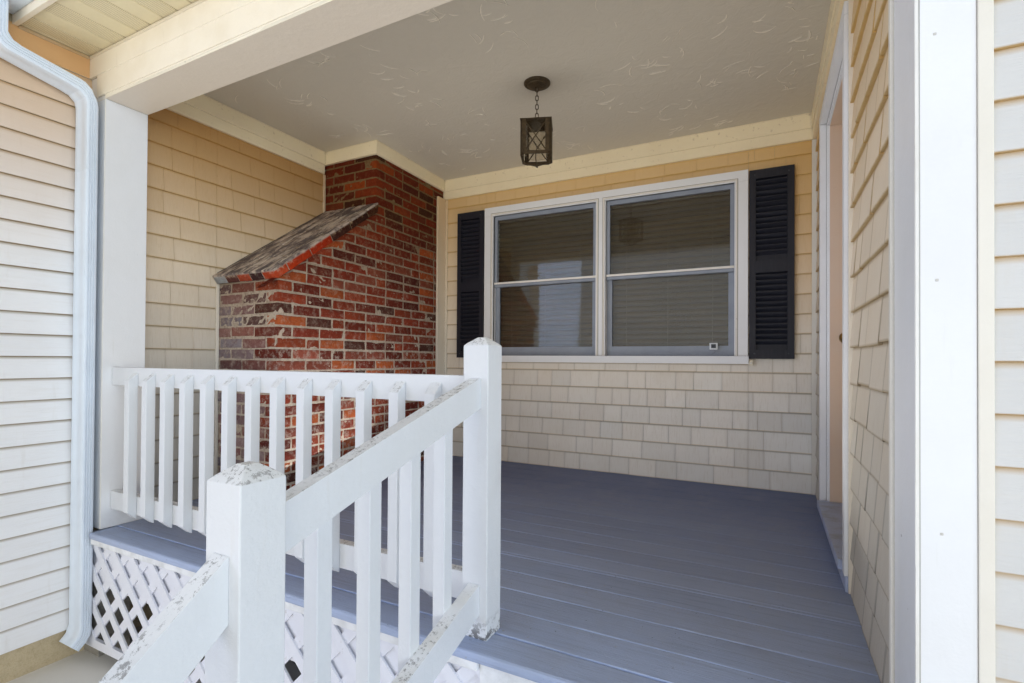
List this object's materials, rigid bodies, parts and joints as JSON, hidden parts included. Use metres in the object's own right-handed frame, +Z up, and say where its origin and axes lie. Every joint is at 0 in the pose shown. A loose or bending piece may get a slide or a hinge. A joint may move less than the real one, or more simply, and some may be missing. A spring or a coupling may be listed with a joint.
{
  "type": "recessed front porch",
  "caption": "Recessed front porch of a timber house with brick chimney corner, painted deck and railing, lattice skirt, steps, shuttered window, door and hanging lantern.",
  "frame": {"origin": "centre of the bounding box at ground level", "axes": "+X to the right along the house front, +Y into the house, +Z up"},
  "size_m": [4.039, 3.76, 4.6468],
  "materials": {
    "wall_board": "matt",
    "white_paint": "satin, worn",
    "shingle_siding": "matt",
    "clapboard_siding": "matt",
    "brick": "rough",
    "mortar": "rough",
    "deck_paint": "satin, worn",
    "bare_timber": "rough",
    "cream_trim": "matt",
    "gutter_metal": "satin",
    "ceiling_board": "textured",
    "crown_paint": "satin",
    "roof_covering": "granular",
    "sash_paint": "satin",
    "window_glass": "clear",
    "blind_slats": "satin",
    "shutter_plastic": "matt",
    "door_paint": "satin",
    "knob_brass": "polished",
    "lantern_metal": "satin",
    "lantern_glass": "frosted"
  },
  "bodies": {
    "house": {"left_wall": "wall_board", "back_wall": "wall_board", "right_wall_near": "wall_board", "right_wall_far": "wall_board", "right_wall_head": "wall_board", "right_wall_base": "wall_board", "front_wall": "wall_board", "shingles": "shingle_siding", "clapboards": "clapboard_siding", "chimney": "brick", "chimney_cap": "mortar", "deck_floor": "deck_paint", "deck_frame": "bare_timber", "deck_piers": "mortar", "deck_skirt": "white_paint", "lattice": "white_paint", "steps": "deck_paint", "stair_stringers": "white_paint", "newel_posts": "white_paint", "handrails": "white_paint", "balusters": "white_paint", "pilasters": "white_paint", "wall_trims": "cream_trim", "beam": "white_paint", "frieze": "cream_trim", "soffit": "cream_trim", "fascia": "cream_trim", "gutter": "gutter_metal", "downspout": "gutter_metal", "ceiling": "ceiling_board", "crown_molding": "crown_paint", "roof_deck": "bare_timber", "roof_shingles": "roof_covering", "window_casing": "white_paint", "window_sashes": "sash_paint", "window_glass": "window_glass", "window_blinds": "blind_slats", "shutters": "shutter_plastic", "door_frame": "white_paint", "door_sill": "deck_paint", "door_hinges": "knob_brass", "lantern_hanger": "lantern_metal", "lantern_cage": "lantern_metal", "lantern_glass": "lantern_glass"},
    "door": {"door_leaf": "door_paint", "door_hardware": "knob_brass"}
  },
  "joints": [
    {"name": "door_hinge", "type": "hinge", "parent": "house", "child": "door", "pos_m": [1.6625, 0.25, 1.7485], "axis": [0, 0, -1], "range_deg": [0, 100]}
  ]
}
